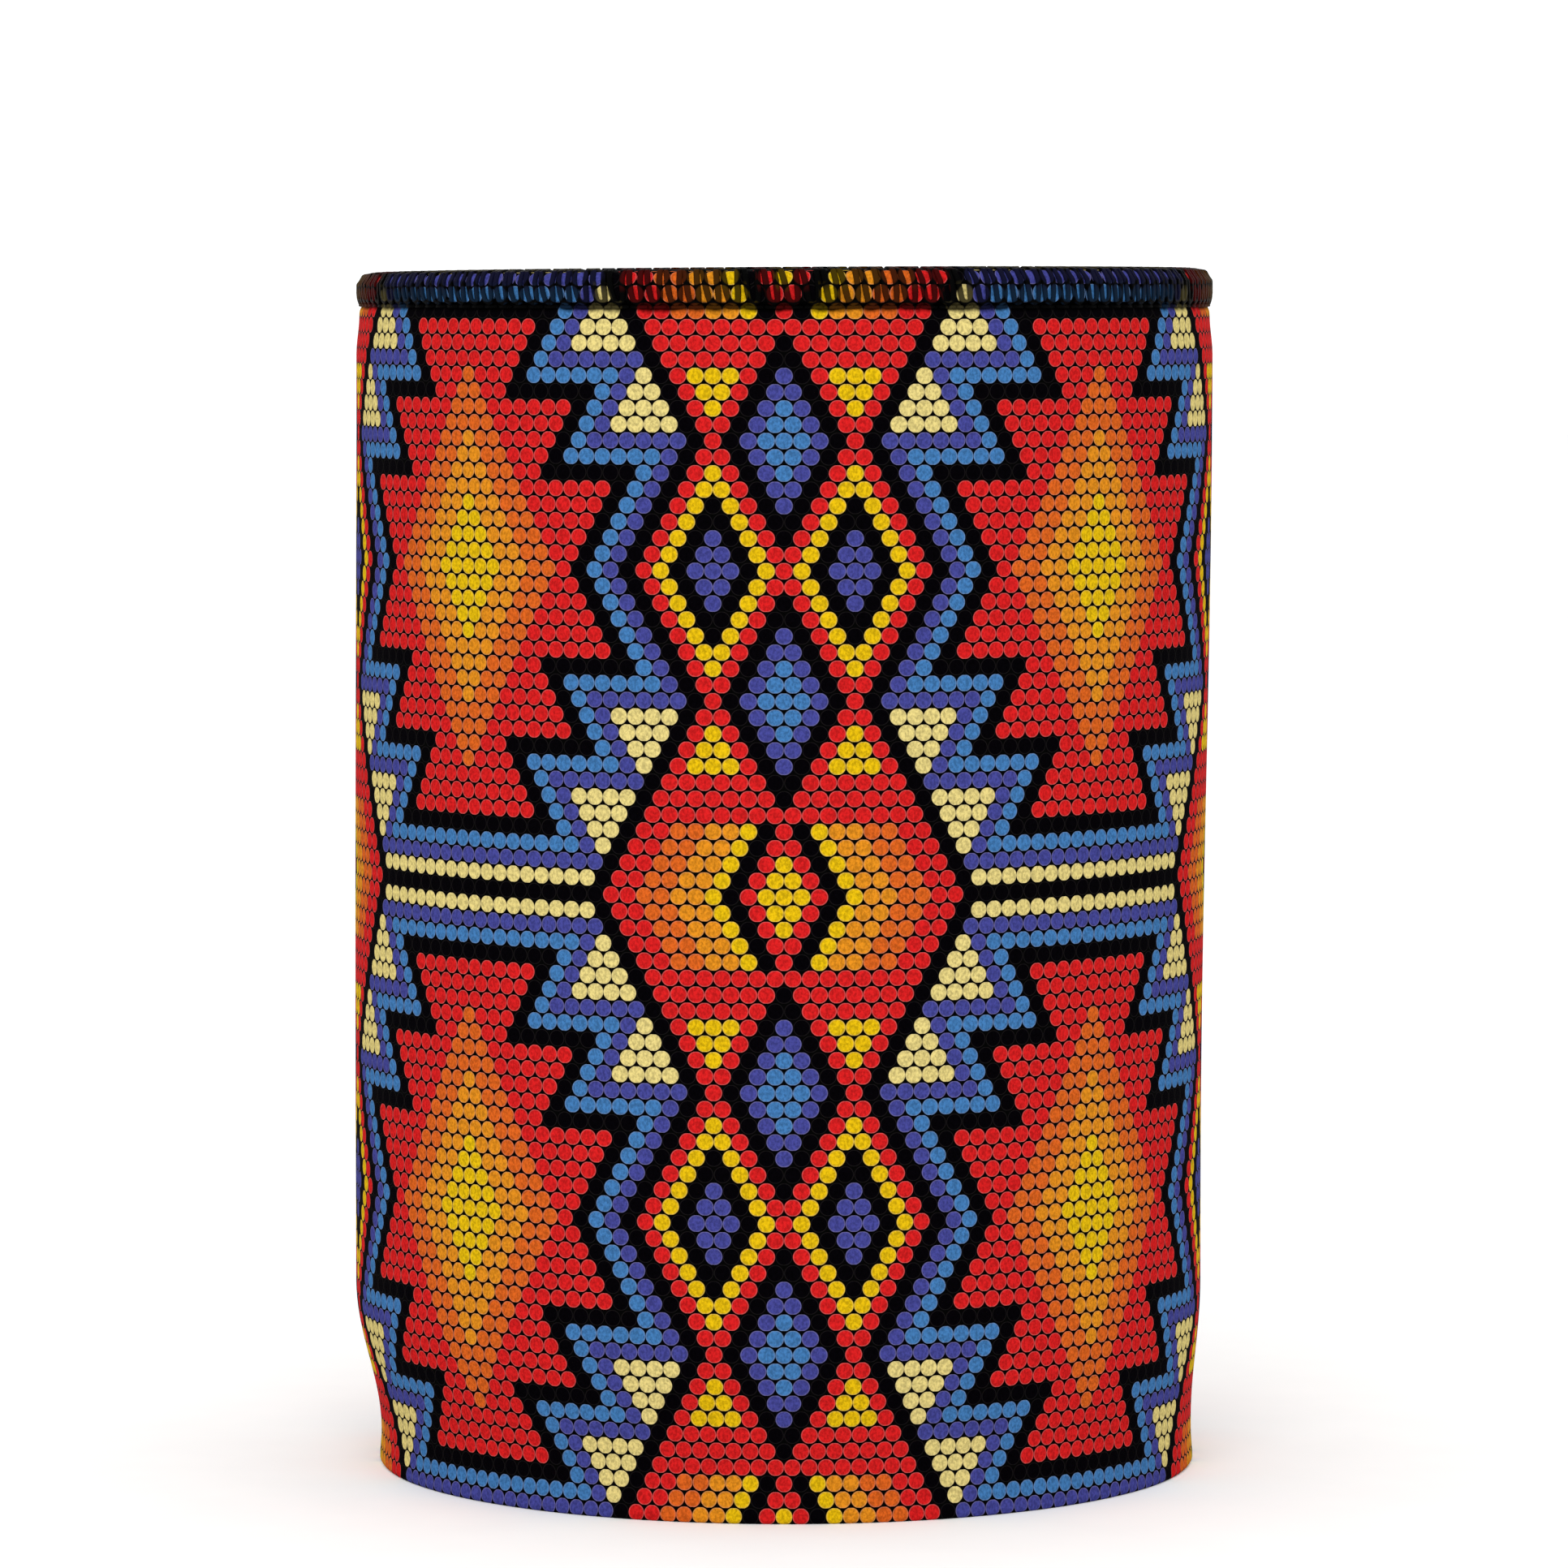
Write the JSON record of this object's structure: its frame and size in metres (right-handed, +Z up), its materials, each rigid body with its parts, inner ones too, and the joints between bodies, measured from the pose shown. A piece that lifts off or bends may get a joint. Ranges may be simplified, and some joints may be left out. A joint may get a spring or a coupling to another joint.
{
  "type": "insulating drinks can sleeve",
  "caption": "Soft foam sleeve that holds a standard drinks can and keeps it cool, with a stitched rim, a glued foam base and a printed bead pattern.",
  "frame": {"origin": "centre of the foot, on the surface the sleeve stands on", "axes": "+Z up along the bore, out of the mouth; +Y towards the back seam; -Y is the front, where the print is centred"},
  "size_m": [0.0754, 0.0754, 0.105],
  "materials": {
    "printed_jersey": "matte sublimation-printed polyester jersey, folk-art bead pattern",
    "black_jersey": "matte black polyester jersey",
    "neoprene_foam": "fine closed-cell foam, cut edge",
    "overlock_thread": "textured polyester overlock thread, slight sheen",
    "seam_thread": "polyester sewing thread, slight sheen"
  },
  "bodies": {
    "root": {"foam_wall": "neoprene_foam", "printed_cover": "printed_jersey", "inner_lining": "black_jersey", "base_foam": "neoprene_foam", "base_cover": "black_jersey", "base_lining": "black_jersey", "rim_needle_thread": "overlock_thread", "rim_upper_looper_thread": "overlock_thread", "rim_lower_looper_thread": "overlock_thread", "back_seam_needle_thread": "seam_thread", "back_seam_bobbin_thread": "seam_thread"}
  },
  "joints": []
}
